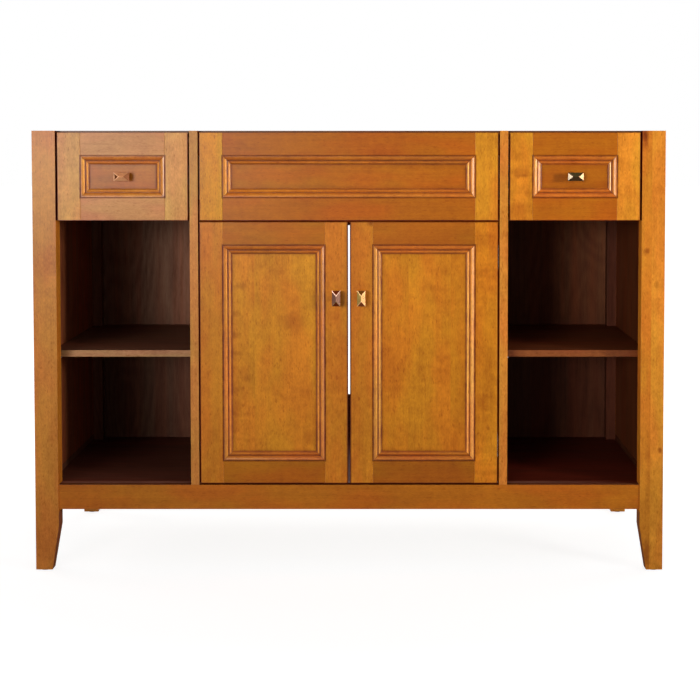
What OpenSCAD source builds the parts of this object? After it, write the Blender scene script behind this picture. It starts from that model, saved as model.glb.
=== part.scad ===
/* [Cabinet] */
// Width across the outer faces of the legs
cab_w = 1219; // [1120:1:1500]
// Height from the ground to the top of the legs
cab_h = 855; // [800:1:900]
// Depth from the fronts of the front legs to the backs of the rear legs
cab_d = 549; // [480:1:620]
// Clear width between the two dividers
center_w = 582; // [500:1:660]
// Height of the bottom rail's lower edge above the ground
rail_z = 120; // [100:1:150]
// Height of the side shelves' top faces above the ground
shelf_z = 424; // [320:1:560]

/* [Legs] */
// Width of a leg, seen from the front
leg_w = 45; // [40:1:60]
// Depth of a leg, seen from the side
leg_d = 40; // [36:1:55]
// Width of a foot at the ground
foot_w = 32; // [24:1:38]
// Depth of a foot at the ground
foot_d = 29; // [24:1:34]
// Height at which the feet start to taper
taper_h = 87; // [50:1:98]
// Radius of a floor glide
glide_r = 9; // [6:0.5:11]
// Height of a floor glide
glide_t = 2; // [1:0.5:5]

/* [Carcass] */
// Height of the bottom rail
rail_h = 48; // [36:1:70]
// Thickness of the bottom rails
rail_t = 20; // [18:1:24]
// Thickness of the dividers, the floor and the upper rails
board_t = 16; // [14:1:20]
// Thickness of the side panels
side_t = 12; // [9:0.5:14]
// Distance from the legs' outer faces to the side panels
side_set = 12; // [8:0.5:15]
// Height of the rails above and below the side panels
side_rail_h = 68; // [50:1:90]
// Distance from the legs' outer faces to the side rails
side_rail_set = 2.5; // [0:0.5:6]
// Height of the rear rail under the bays
rear_rail_h = 32; // [24:1:45]
// Height of the rear rail at the top
top_rail_h = 100; // [80:1:140]
// Height of the low rail behind the middle bay
low_back_h = 98; // [70:1:160]
// Width of the front stretcher, front to back
stretcher_w = 60; // [40:1:100]
// Thickness of the back panels
back_t = 6; // [4:0.5:9]
// Distance from the rear legs' backs to the back panels
back_set = 3; // [1:0.5:8]
// Thickness of the decks under the drawers
deck_t = 12; // [9:0.5:16]
// Thickness of the side shelves
shelf_t = 13; // [10:0.5:20]
// Distance from the legs' fronts to the shelves' front edges
shelf_set = 60; // [45:1:150]
// Section of the floor cleats
cleat_t = 20; // [12:1:20]
// Leg length of the corner blocks in the middle bay
block_l = 50; // [40:1:80]
// Radius of the screw holes in the corner blocks
top_hole_r = 2.5; // [2:0.25:4]
// Distance from those holes to the block's two square edges
top_hole_in = 16; // [10:0.5:18]
// Spacing of the two wall screw holes
wall_hole_pitch = 406.4; // [300:0.1:500]
// Radius of the wall screw holes
wall_hole_r = 3; // [2:0.25:5]

/* [Doors and fronts] */
// Thickness of the doors and the drawer fronts
front_t = 20; // [18:0.5:24]
// Distance from the legs' fronts to the doors' faces
face_set = 3; // [0:0.5:8]
// Height of the drawer fronts and the false front
front_h = 169.5; // [150:0.5:200]
// Gap around the doors and the drawer fronts
front_gap = 3; // [2:0.25:5]
// Gap between the two doors
meet_gap = 4; // [2:0.25:6]
// Gap above the drawer fronts and the false front
top_reveal = 3.5; // [2:0.25:8]
// Width of the stiles and rails of each front
stile_w = 44.5; // [44:0.5:55]
// Depth from a front's face to its recessed panel
recess = 8; // [7:0.25:9]
// Thickness of the recessed panels
panel_t = 6; // [5:0.25:8]
// Depth of the panels' edges in the frames' grooves
tongue = 5; // [3:0.25:5.5]
// Width of the molding inside each frame
mold_w = 17; // [15:0.5:20]
// Height of the stop rail behind the doors' upper edges
stop_h = 40; // [30:1:60]
// Overlap of the stop rail and the doors
stop_lap = 7; // [4:0.5:12]
// Gap between the doors' backs and the stop rail
stop_gap = 1.8; // [1.5:0.1:3]

/* [Knobs] */
// Length of a knob's head
knob_l = 30; // [24:1:40]
// Width of a knob's head
knob_w = 16; // [12:1:20]
// Length of the ridge on a knob's head
knob_ridge = 10; // [6:1:18]
// Height of a knob's head
knob_head_h = 6.5; // [6:0.5:10]
// Height of the head's square edge
knob_edge_h = 3; // [1:0.5:5]
// Height of a whole knob
knob_len = 26; // [22:0.5:36]
// Radius of a knob's stem
knob_stem_r = 4.5; // [3.5:0.25:6]
// Radius of a knob's foot
knob_foot_r = 7; // [6.5:0.25:8]
// Height of the door knobs above the ground
door_knob_z = 533; // [400:1:600]

/* [Drawers] */
// Thickness of a drawer box's boards
box_t = 12; // [9:0.5:15]
// Space from a drawer front's lower edge to its box
box_low = 22; // [20:0.5:30]
// Space from a drawer box to its front's upper edge
box_high = 27.5; // [20:0.5:35]
// Space behind the drawer boxes
box_back = 41; // [20:1:120]
// Thickness of the drawer bottoms
bottom_t = 6; // [4:0.5:8]
// Height of a drawer bottom inside its box
bottom_up = 8; // [6:0.5:14]
// Space between a drawer box and the deck under it
deck_gap = 8; // [6:0.5:9]

/* [Slides] */
// Space for a slide on each side of a drawer box
slide_space = 13; // [12.5:0.1:16]
// Height of a slide
slide_h = 45; // [43:0.5:50]
// Thickness of the slides' and hinges' sheet steel
steel_t = 1.2; // [0.9:0.1:1.4]
// Distance from the drawer fronts' backs to the slides
slide_front = 5; // [3:0.5:10]
// Length by which the slides end before the drawer boxes
slide_short = 5; // [0:0.5:20]
// Height of the ball races outside the middle members
race_out = 2.3; // [2:0.1:3]
// Height of the ball races inside the middle members
race_in = 3.2; // [2.5:0.1:4]
// Length of a ball cage
cage_l = 160; // [100:1:190]
// Height of the spacers that carry the outer slides
spacer_h = 50; // [48:1:70]

/* [Hinges] */
// Radius of a hinge cup
cup_r = 17.5; // [15:0.25:17.5]
// Depth of a hinge cup
cup_depth = 12; // [10:0.25:13]
// Distance from a door's edge to its hinge cups
cup_edge = 3; // [2.5:0.25:3.25]
// Distance from a door's ends to its hinges
hinge_end = 70; // [50:1:120]
// Distance from the doors' faces to the hinge arms' noses
arm_set = 22.5; // [22.25:0.25:26]
// Length of a hinge arm
arm_l = 58; // [50:1:70]
// Spacing of the two screws in a hinge plate
hinge_pitch = 32; // [28:1:40]

/* [Joinery] */
// Depth of the grooves in the legs
groove_d = 8; // [5:0.5:10]
// Length of the rails' tenons
tenon_l = 16; // [10:0.5:20]
// Wood left beside a tenon, across the rail's thickness
tenon_cheek = 4; // [3:0.5:5]
// Wood left above and below a tenon
tenon_shoulder = 6; // [4:0.5:8]
// Depth of the deck housings in the dividers
dado_d = 5; // [3:0.5:7]
// Radius of the shelf pins
pin_r = 2.5; // [2:0.25:3]
// Length of a shelf pin's shank in its hole
pin_l = 8; // [6:0.5:8.5]
// Distance from the shelves' edges to their pins
pin_in = 50; // [45:1:90]
// Clearance round pieces seated in grooves and mortises
fit_gap = 0.1; // [0.05:0.05:0.2]
// Open line between the pieces of a joined frame
joint_gap = 0.1; // [0.05:0.05:0.3]
// Clearance between the shelves and what stands beside them
shelf_gap = 1.5; // [0.5:0.25:3]

/* [Hidden] */
$fn = 48;
// Overshoot of a cutting shape past the face it opens
cut = 1;

half_w = cab_w / 2;
leg_in = half_w - leg_w;
side_out = half_w - side_set;
side_in = side_out - side_t;
div_in = center_w / 2;
div_out = div_in + board_t;

// The origin lies under the middle of the whole depth, door knobs included
knob_out = knob_len - face_set;
front_y = (knob_out - cab_d) / 2;
back_y = front_y + cab_d;
face_y = front_y + face_set;
front_back_y = face_y + front_t;
legs_y = [front_y + leg_d, back_y - leg_d];
back_y0 = back_y - back_set - back_t;
rear_rail_y = [back_y0 - rail_t, back_y0];
rear_board_y = [back_y0 - board_t, back_y0];

floor_top = rail_z + rail_h;
floor_z = [floor_top - board_t, floor_top];
door_z = [floor_top + front_gap, cab_h - top_reveal - front_h - front_gap];
front_z = [cab_h - top_reveal - front_h, cab_h - top_reveal];
door_x = [meet_gap / 2, div_in - front_gap];
drawer_x = [div_out + front_gap, leg_in - front_gap];
drawer_mid = (drawer_x[0] + drawer_x[1]) / 2;

// The bottom rail's back, or the floor's front edge
floor_y = [face_y + rail_t, back_y0];
rear_low_z = [floor_z[0] - rear_rail_h, floor_z[0]];
top_rail_z = [cab_h - top_rail_h, cab_h];
stretcher_y = [front_back_y + front_gap, front_back_y + front_gap + stretcher_w];
stretcher_z = [cab_h - board_t, cab_h];
stop_z = [door_z[1] - stop_lap, door_z[1] - stop_lap + stop_h];
stop_y = [front_back_y + stop_gap, front_back_y + stop_gap + board_t];

box_x = [div_out + slide_space, leg_in - slide_space];
box_y = [front_back_y, rear_board_y[0] - box_back];
box_z = [front_z[0] + box_low, front_z[1] - box_high];
bottom_z = [box_z[0] + bottom_up, box_z[0] + bottom_up + bottom_t];
deck_z = [box_z[0] - deck_gap - deck_t, box_z[0] - deck_gap];
deck_y = [front_back_y + front_gap, back_y0];

slide_y = [front_back_y + slide_front, box_y[1] - slide_short];
slide_z = (box_z[0] + box_z[1]) / 2;
// Free space between two slide members that pass each other
slide_run = 0.3;
// Half heights of the three members, from the outside in
slide_half = slide_h / 2;
middle_half = slide_half - steel_t - slide_run - race_out;
inner_half = middle_half - steel_t - race_in - slide_run;
// Reach of each member from the cabinet's face towards the drawer
cabinet_reach = 9.6;
middle_reach = [3, 11];
drawer_reach = 6;
slide_screw_in = [37, 300];

shelf_z0 = shelf_z - shelf_t;
shelf_y = [front_y + shelf_set, back_y0 - shelf_gap];
pin_y = [shelf_y[0] + pin_in, shelf_y[1] - pin_in];
// A shelf pin's bracket: its reach, width and height
bracket = [9, 7, 8];
pin_z = shelf_z0 - bracket[2] / 2;

hinge_z = [door_z[0] + hinge_end, door_z[1] - hinge_end];
cup_u = cup_edge + cup_r;
// Rim of a cup on the door's back, and its two screw ears
cup_rim = 1.5;
ear = [12, 56];
// A hinge plate: thickness, depth front to back, height, and its place behind the face
plate = [3, 30, 46];
plate_v = 28;
plate_screw_v = 37;
// A hinge arm's thickness, half height, and its nose
arm_t = 10;
arm_half = 7;
nose = [17, 5];
lever_half = 6;
lever_gap = 0.8;

// Wood and machine screws: shank and head radii, head height, and hole clearance
screw_r = 1.75;
screw_head_r = 3.2;
screw_head_t = 1.4;
screw_l = 12;
bolt_r = 2;
bolt_head_r = 4;
bolt_head_t = 2.4;
bolt_in = 10;
bore_gap = 0.1;
thread_gap = 0.05;

glide_stem = [2, 12];
foot_at = [half_w - foot_w / 2, foot_d / 2];

wood = "#b9763a";
wood_dark = "#9a5c26";
wood_light = "#cc8a48";
laminate = "#3a2418";
box_wood = "#d9bd92";
brass = "#6e5836";
steel = "#b9bbbe";
nylon = "#26262a";

// A box from its two limits along each axis
module block(x, y, z) {
  translate([x[0], y[0], z[0]]) cube([x[1] - x[0], y[1] - y[0], z[1] - z[0]]);
}

// A profile drawn in Y and Z, run along X
module run_x(x) {
  translate([x[0], 0, 0]) rotate([90, 0, 90]) linear_extrude(x[1] - x[0]) children();
}

// A profile drawn in X and Z, run along Y
module run_y(y) {
  translate([0, y[1], 0]) rotate([90, 0, 0]) linear_extrude(y[1] - y[0]) children();
}

// A round bar or bore along X
module bar_x(x, y, z, r) {
  translate([x[0], y, z]) rotate([0, 90, 0]) cylinder(r = r, h = x[1] - x[0]);
}

// A round bar or bore along Y
module bar_y(y, x, z, r) {
  translate([x, y[0], z]) rotate([-90, 0, 0]) cylinder(r = r, h = y[1] - y[0]);
}

module left_side() {
  mirror([1, 0, 0]) children();
}

module both_sides() {
  children();
  left_side() children();
}

// Limits of a span, made wider at both ends
function wider(s, d) = [s[0] - d, s[1] + d];

// Tenon at the right-hand end of a rail between two legs, grown by d for its mortise
module tenon(y, z, d = 0) {
  block([leg_in - (d > 0 ? cut : 0), leg_in + tenon_l + d],
    wider(y, d - tenon_cheek), wider(z, d - tenon_shoulder));
}

// Cut that clears the right-hand legs, for boards that fit round them
module leg_notches(z, d = fit_gap) {
  block([leg_in - d, half_w], [front_y - cut, legs_y[0] + d], wider(z, cut));
  block([leg_in - d, half_w], [legs_y[1] - d, back_y + cut], wider(z, cut));
}

// Right-hand leg with its outer corner at the origin of Y, reaching inwards
module leg_blank() {
  difference() {
    intersection() {
      run_y([0, leg_d]) polygon([[half_w, glide_t], [half_w - foot_w, glide_t],
        [leg_in, taper_h], [leg_in, cab_h], [half_w, cab_h]]);
      run_x([leg_in, half_w]) polygon([[0, glide_t], [foot_d, glide_t],
        [leg_d, taper_h], [leg_d, cab_h], [0, cab_h]]);
    }
    block(wider([side_in, side_out], fit_gap), [leg_d - groove_d - fit_gap, leg_d + cut],
      [rail_z - fit_gap, cab_h + cut]);
    translate([foot_at[0], foot_at[1], 0])
      cylinder(r = glide_stem[0] + fit_gap, h = glide_t + glide_stem[1] + fit_gap);
  }
}

module front_leg() {
  color(wood_light) difference() {
    translate([0, front_y, 0]) leg_blank();
    tenon([face_y, face_y + rail_t], [rail_z, floor_top], fit_gap);
  }
}

module rear_leg() {
  color(wood_light) difference() {
    translate([0, back_y, 0]) mirror([0, 1, 0]) leg_blank();
    tenon(rear_rail_y, rear_low_z, fit_gap);
    tenon(rear_board_y, top_rail_z, fit_gap);
    block([leg_in - cut, leg_in + groove_d + fit_gap], wider([back_y0, back_y0 + back_t], fit_gap),
      [floor_z[0] - fit_gap, cab_h + cut]);
  }
}

module front_left_leg() { left_side() front_leg(); }
module front_right_leg() { front_leg(); }
module rear_left_leg() { left_side() rear_leg(); }
module rear_right_leg() { rear_leg(); }

// Side panel, held in the legs' grooves and the rails' rabbets
side_panel_z = [rail_z + side_rail_h - groove_d, cab_h - side_rail_h + groove_d];
module side_panel() {
  color(wood) difference() {
    block([side_in, side_out], wider(legs_y, groove_d), side_panel_z);
    for (y = pin_y)
      bar_x([side_in - cut, side_in + pin_l + fit_gap], y, pin_z, pin_r + thread_gap);
  }
}
module left_side_panel() { left_side() side_panel(); }
module right_side_panel() { side_panel(); }

// Side rail with its rabbet towards the panel and its tongues in the legs' grooves
module side_rail(z, panel_edge) {
  block([side_out + fit_gap, half_w - side_rail_set], legs_y, z);
  block([side_in, side_out + 2 * fit_gap], legs_y, panel_edge);
  block([side_in, side_out], wider(legs_y, groove_d), panel_edge);
}
module side_rails() {
  color(wood_dark) both_sides() {
    side_rail([rail_z, rail_z + side_rail_h], [rail_z, side_panel_z[0] - fit_gap]);
    side_rail([cab_h - side_rail_h, cab_h], [side_panel_z[1] + fit_gap, cab_h]);
  }
}

module rail_between_legs(y, z) {
  block([-leg_in, leg_in], y, z);
  both_sides() tenon(y, z);
}
module bottom_rail() {
  color(wood_dark) rail_between_legs([face_y, face_y + rail_t], [rail_z, floor_top]);
}
module rear_bottom_rail() {
  color(laminate) rail_between_legs(rear_rail_y, rear_low_z);
}
module rear_top_rail() {
  color(laminate) difference() {
    rail_between_legs(rear_board_y, top_rail_z);
    both_sides() bar_y(wider(rear_board_y, cut), wall_hole_pitch / 2,
      cab_h - top_rail_h / 2, wall_hole_r);
  }
}
module front_stretcher() {
  color(wood_dark) difference() {
    block([-side_in, side_in], stretcher_y, stretcher_z);
    both_sides() leg_notches(stretcher_z);
  }
}
module floor_panel() {
  color(laminate) difference() {
    block([-side_in, side_in], floor_y, floor_z);
    both_sides() leg_notches(floor_z);
  }
}

// Divider between the middle bay and the right-hand bay
module divider() {
  color(laminate) difference() {
    block([div_in, div_out], [face_y, back_y0], [floor_top, cab_h]);
    block(wider([div_in, div_out], cut), wider(stretcher_y, fit_gap),
      [stretcher_z[0] - fit_gap, cab_h + cut]);
    block(wider([div_in, div_out], cut), [rear_board_y[0] - fit_gap, back_y0 + cut],
      [top_rail_z[0] - fit_gap, cab_h + cut]);
    block([div_out - dado_d - fit_gap, div_out + cut], [deck_y[0] - fit_gap, back_y0 + cut],
      wider(deck_z, fit_gap));
    for (y = pin_y)
      bar_x([div_out - pin_l - fit_gap, div_out + cut], y, pin_z, pin_r + thread_gap);
    for (y = slide_screw_in)
      bar_x([div_out - screw_l - fit_gap, div_out + cut], slide_y[0] + y, slide_z,
        screw_r + bore_gap);
    for (z = hinge_z, s = [-1, 1])
      bar_x([div_in - cut, div_in + screw_l + fit_gap], face_y + plate_screw_v,
        z + s * hinge_pitch / 2, screw_r + bore_gap);
  }
}
module left_divider() { left_side() divider(); }
module right_divider() { divider(); }

module drawer_decks() {
  color(laminate) both_sides() difference() {
    block([div_out - dado_d, side_in], deck_y, deck_z);
    leg_notches(deck_z);
  }
}
module door_stop_rail() {
  color(laminate) block([-div_in, div_in], stop_y, stop_z);
}
module center_back_rail() {
  color(laminate) block([-div_in, div_in], rear_board_y, [floor_top, floor_top + low_back_h]);
}
module bay_back_panels() {
  color(laminate) both_sides()
    block([div_in, leg_in + groove_d], [back_y0, back_y0 + back_t], [floor_z[0], cab_h]);
}

// Adjustable shelf of the right-hand bay
module shelf() {
  color(laminate) difference() {
    block([div_out + shelf_gap, side_in - shelf_gap], shelf_y, [shelf_z0, shelf_z]);
    leg_notches([shelf_z0, shelf_z], shelf_gap);
  }
}
module left_shelf() { left_side() shelf(); }
module right_shelf() { shelf(); }

// Pin with a square bracket under the shelf, reaching along X from its wall
module shelf_pin() {
  bar_x([-pin_l, cut], 0, 0, pin_r);
  block([0, bracket[0]], [-bracket[1] / 2, bracket[1] / 2], [-bracket[2] / 2, bracket[2] / 2]);
}
module shelf_pins() {
  color(steel) both_sides() for (y = pin_y) {
    translate([div_out, y, pin_z]) shelf_pin();
    translate([side_in, y, pin_z]) mirror([1, 0, 0]) shelf_pin();
  }
}

// Triangular glue block with its square corner at the origin
module corner_block() {
  difference() {
    linear_extrude(board_t) polygon([[0, 0], [block_l, 0], [0, block_l]]);
    translate([top_hole_in, top_hole_in, -cut]) cylinder(r = top_hole_r, h = board_t + 2 * cut);
  }
}
module corner_blocks() {
  color(box_wood) both_sides() {
    translate([-div_in, stretcher_y[1], stretcher_z[0]]) corner_block();
    translate([-div_in, rear_board_y[0], stretcher_z[0]]) mirror([0, 1, 0]) corner_block();
  }
}
module slide_spacers() {
  color(box_wood) both_sides() difference() {
    block([leg_in, side_in], legs_y, [slide_z - spacer_h / 2, slide_z + spacer_h / 2]);
    for (y = slide_screw_in)
      bar_x([leg_in - cut, leg_in + screw_l + fit_gap], slide_y[0] + y, slide_z,
        screw_r + bore_gap);
  }
}
module floor_cleats() {
  cleat_z = [floor_z[0] - cleat_t, floor_z[0]];
  inner_y = [floor_y[0] + cleat_t, rear_rail_y[0] - cleat_t];
  cross_x = leg_in - fit_gap;
  color(box_wood) {
    block([-cross_x, cross_x], [floor_y[0], inner_y[0]], cleat_z);
    block([-cross_x, cross_x], [inner_y[1], rear_rail_y[0]], cleat_z);
    both_sides() block([side_in - cleat_t, side_in], wider(legs_y, -fit_gap), cleat_z);
    block([-cleat_t / 2, cleat_t / 2], wider(inner_y, -fit_gap), cleat_z);
  }
}
module floor_glides() {
  color(nylon) both_sides() for (y = [front_y + foot_at[1], back_y - foot_at[1]])
    translate([foot_at[0], y, 0]) {
      cylinder(r = glide_r, h = glide_t);
      cylinder(r = glide_stem[0], h = glide_t + glide_stem[1]);
    }
}

// Opening inside a front's frame
function inner(s) = [s[0] + stile_w, s[1] - stile_w];
// Outline of the panel in that frame's grooves
function in_groove(s) = wider(inner(s), tongue);

// Two stiles and two rails, grooved for the panel
module front_frame(x, z) {
  open_x = inner(x);
  open_z = inner(z);
  y = [face_y, front_back_y];
  difference() {
    union() {
      block([x[0], open_x[0]], y, z);
      block([open_x[1], x[1]], y, z);
      block(wider(open_x, -joint_gap), y, [z[0], open_z[0]]);
      block(wider(open_x, -joint_gap), y, [open_z[1], z[1]]);
    }
    block(wider(in_groove(x), fit_gap),
      wider([face_y + recess, face_y + recess + panel_t], fit_gap),
      wider(in_groove(z), fit_gap));
  }
}
module front_panel(x, z) {
  block(in_groove(x), [face_y + recess, face_y + recess + panel_t], in_groove(z));
}

// Molding profile: distance from the frame's edge, then depth behind its face
ovolo_w = 0.5 * mold_w;
ovolo_h = 0.575 * recess;
bead_w = 0.31 * mold_w;
bead_h = 0.325 * recess;
edge = 1;
quirk = 1.2;
molding_profile = concat(
  [[0, recess], [0, edge]],
  [for (a = [90:-15:0]) [edge + ovolo_w * cos(a), ovolo_h * (1 - sin(a))]],
  [[edge + ovolo_w, recess - bead_h + 0.6], [edge + ovolo_w + quirk, recess - bead_h + 0.6]],
  [for (a = [60:-20:0])
    [mold_w - edge - bead_w * (1 - cos(a)), recess - 0.5 - bead_h * sin(a) / sin(60)]],
  [[mold_w, recess - 0.4], [mold_w, recess]]);

// One mitred length along X, its outer edge at height half
module molding_run(length, half) {
  mitre = length / 2 - joint_gap;
  intersection() {
    run_x([-length / 2, length / 2])
      polygon([for (p = molding_profile) [p[1], half - p[0]]]);
    run_y([-cut, recess + cut]) polygon([[-mitre, half], [mitre, half],
      [mitre - mold_w, half - mold_w], [mold_w - mitre, half - mold_w]]);
  }
}
module front_molding(x, z) {
  w = inner(x)[1] - inner(x)[0];
  h = inner(z)[1] - inner(z)[0];
  translate([(x[0] + x[1]) / 2, face_y, (z[0] + z[1]) / 2]) for (turn = [0, 180]) {
    rotate([0, turn, 0]) molding_run(w, h / 2);
    rotate([0, turn + 90, 0]) molding_run(h, w / 2);
  }
}

// Knob on a face at the origin, its head long in X, with its screw from behind
module knob_head() {
  intersection() {
    run_y([-knob_w / 2, knob_w / 2]) polygon([[-knob_l / 2, 0], [knob_l / 2, 0],
      [knob_l / 2, knob_edge_h], [knob_ridge / 2, knob_head_h],
      [-knob_ridge / 2, knob_head_h], [-knob_l / 2, knob_edge_h]]);
    run_x([-knob_l / 2, knob_l / 2]) polygon([[-knob_w / 2, 0], [knob_w / 2, 0],
      [knob_w / 2, knob_edge_h], [0, knob_head_h], [-knob_w / 2, knob_edge_h]]);
  }
}
module knob(through, turn) {
  foot_t = 3;
  rotate([90, 0, 0]) rotate([0, 0, turn]) {
    color(brass) difference() {
      union() {
        cylinder(r = knob_foot_r, h = foot_t);
        cylinder(r = knob_stem_r, h = knob_len - knob_head_h + 0.5);
        translate([0, 0, knob_len - knob_head_h]) knob_head();
      }
      translate([0, 0, -cut]) cylinder(r = bolt_r + thread_gap, h = bolt_in + 2 * cut);
    }
    color(steel) translate([0, 0, -through - bolt_head_t]) {
      cylinder(r = bolt_head_r, h = bolt_head_t);
      cylinder(r = bolt_r, h = bolt_head_t + through + bolt_in);
    }
  }
}

module false_front_frame() {
  color(wood) front_frame([-door_x[1], door_x[1]], front_z);
}
module false_front_panel() {
  color(wood_light) front_panel([-door_x[1], door_x[1]], front_z);
}
module false_front_molding() {
  color(wood_dark) front_molding([-door_x[1], door_x[1]], front_z);
}
// Blocks that hold the false front to the dividers
module false_front_blocks() {
  block_s = 20;
  color(box_wood) both_sides() block([div_in - block_s, div_in],
    [front_back_y, front_back_y + block_s], [stop_z[1] + block_s / 2, front_z[1] - stile_w]);
}

// Drawer bay of the right-hand side: front, box, bottom and knob
module drawer_front_frame() {
  color(wood) front_frame(drawer_x, front_z);
}
module drawer_front_panel() {
  color(wood_light) difference() {
    front_panel(drawer_x, front_z);
    drawer_bolt_hole();
  }
}
module drawer_molding() {
  color(wood_dark) front_molding(drawer_x, front_z);
}
drawer_knob_z = (front_z[0] + front_z[1]) / 2;
module drawer_bolt_hole() {
  bar_y([face_y, front_back_y + box_t + cut], drawer_mid, drawer_knob_z, bolt_r + bore_gap);
}
module drawer_box() {
  bottom_in = box_t / 2;
  between = wider(box_x, -box_t - joint_gap);
  color(box_wood) difference() {
    union() {
      block([box_x[0], box_x[0] + box_t], box_y, box_z);
      block([box_x[1] - box_t, box_x[1]], box_y, box_z);
      block(between, [box_y[0], box_y[0] + box_t], box_z);
      block(between, [box_y[1] - box_t, box_y[1]], box_z);
    }
    block(wider(box_x, fit_gap - bottom_in), wider(box_y, fit_gap - bottom_in),
      wider(bottom_z, fit_gap));
    drawer_bolt_hole();
  }
}
module drawer_bottom() {
  color(box_wood) block(wider(box_x, -box_t / 2), wider(box_y, -box_t / 2), bottom_z);
}
module drawer_knob() {
  translate([drawer_mid, face_y + recess, drawer_knob_z])
    knob(front_t - recess + box_t, 0);
}

// Both slides of the right-hand drawer, each drawn from its cabinet face along X
module at_slides() {
  translate([div_out, 0, slide_z]) children();
  translate([leg_in, 0, slide_z]) mirror([1, 0, 0]) children();
}
module flanges(x, half) {
  for (z = [[-half, -half + steel_t], [half - steel_t, half]]) block(x, slide_y, z);
}
module cabinet_member() {
  difference() {
    union() {
      block([0, steel_t], slide_y, [-slide_half, slide_half]);
      flanges([0, cabinet_reach], slide_half);
    }
    for (y = slide_screw_in)
      bar_x([-cut, steel_t + cut], slide_y[0] + y, 0, screw_r + bore_gap);
  }
}
module cage(x, y, z) {
  block(x, y, z);
  block(x, y, [-z[1], -z[0]]);
}
module middle_member() {
  block([middle_reach[0], middle_reach[0] + steel_t], slide_y, [-middle_half, middle_half]);
  flanges(middle_reach, middle_half);
  cage([4.5, 8], [slide_y[1] - cage_l, slide_y[1]], [middle_half, middle_half + race_out]);
  cage([6.5, 10], [slide_y[0], slide_y[0] + cage_l],
    [inner_half + slide_run, middle_half - steel_t]);
}
module drawer_member() {
  block([slide_space - steel_t, slide_space], slide_y, [-inner_half, inner_half]);
  flanges([drawer_reach, slide_space], inner_half);
}
module slide_cabinet_members() {
  color(steel) both_sides() at_slides() cabinet_member();
}
module slide_middle() { color(steel) at_slides() middle_member(); }
module drawer_slide_members() { color(steel) at_slides() drawer_member(); }
module left_slide_middle() { left_side() slide_middle(); }
module right_slide_middle() { slide_middle(); }

module left_drawer_front_frame() { left_side() drawer_front_frame(); }
module left_drawer_front_panel() { left_side() drawer_front_panel(); }
module left_drawer_molding() { left_side() drawer_molding(); }
module left_drawer_box() { left_side() drawer_box(); }
module left_drawer_bottom() { left_side() drawer_bottom(); }
module left_drawer_knob() { left_side() drawer_knob(); }
module left_drawer_slide_members() { left_side() drawer_slide_members(); }
module right_drawer_front_frame() { drawer_front_frame(); }
module right_drawer_front_panel() { drawer_front_panel(); }
module right_drawer_molding() { drawer_molding(); }
module right_drawer_box() { drawer_box(); }
module right_drawer_bottom() { drawer_bottom(); }
module right_drawer_knob() { drawer_knob(); }
module right_drawer_slide_members() { drawer_slide_members(); }

// The two hinges of the right-hand door: X runs inwards from the door's edge,
// and Y back from its face
module at_hinges() {
  for (z = hinge_z) translate([door_x[1], face_y, z]) mirror([1, 0, 0]) children();
}
module door_frame() {
  color(wood) difference() {
    front_frame(door_x, door_z);
    at_hinges() bar_y([front_t - cup_depth - fit_gap, front_t + cut], cup_u, 0,
      cup_r + fit_gap);
    bar_y([face_y - cut, front_back_y + cut], door_knob_x, door_knob_z, bolt_r + bore_gap);
  }
}
module door_panel() {
  color(wood_light) front_panel(door_x, door_z);
}
module door_molding() {
  color(wood_dark) front_molding(door_x, door_z);
}
door_knob_x = door_x[0] + stile_w / 2;
module door_knob() {
  translate([door_knob_x, face_y, door_knob_z]) knob(front_t, 90);
}
module hinge_cups() {
  color(steel) at_hinges() difference() {
    union() {
      bar_y([front_t - cup_depth, front_t + steel_t], cup_u, 0, cup_r);
      bar_y([front_t, front_t + steel_t], cup_u, 0, cup_r + cup_rim);
      block([cup_u, cup_u + ear[0]], [front_t, front_t + steel_t], [-ear[1] / 2, ear[1] / 2]);
    }
    bar_y([front_t - cup_depth + steel_t, front_t + steel_t + cut], cup_u, 0, cup_r - steel_t);
  }
}
// Levers that leave the cup towards the arm's nose
module hinge_levers() {
  floor_v = front_t - cup_depth + steel_t;
  top_v = arm_set - lever_gap;
  rim_u = cup_u - cup_r + steel_t + 1;
  color(steel) at_hinges() for (s = [-1, 1]) translate([0, 0, s * lever_half / 2])
    linear_extrude(lever_half - 1, center = true) polygon([[rim_u, front_t - 3],
      [rim_u + 7, floor_v], [rim_u + 13, floor_v], [rim_u + 13, floor_v + 4],
      [rim_u + 9, top_v], [rim_u, top_v]]);
}
// Arm and plate of each hinge, screwed to the divider's inner face
module hinge_arms() {
  wall = -front_gap;
  color(steel) both_sides() at_hinges() difference() {
    union() {
      block([wall, wall + plate[0]], [plate_v, plate_v + plate[1]],
        [-plate[2] / 2, plate[2] / 2]);
      block([wall, wall + arm_t + plate[0]], [arm_set + nose[1] / 2, arm_set + arm_l],
        [-arm_half, arm_half]);
      block([wall + plate[0], nose[0]], [arm_set, arm_set + nose[1]], [-arm_half, arm_half]);
    }
    for (s = [-1, 1])
      bar_x([wall - cut, wall + plate[0] + cut], plate_screw_v, s * hinge_pitch / 2,
        screw_r + bore_gap);
  }
}

module left_door_frame() { left_side() door_frame(); }
module left_door_panel() { left_side() door_panel(); }
module left_door_molding() { left_side() door_molding(); }
module left_door_knob() { left_side() door_knob(); }
module left_hinge_cups() { left_side() hinge_cups(); }
module left_hinge_levers() { left_side() hinge_levers(); }
module right_door_frame() { door_frame(); }
module right_door_panel() { door_panel(); }
module right_door_molding() { door_molding(); }
module right_door_knob() { door_knob(); }
module right_hinge_cups() { hinge_cups(); }
module right_hinge_levers() { hinge_levers(); }

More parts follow.
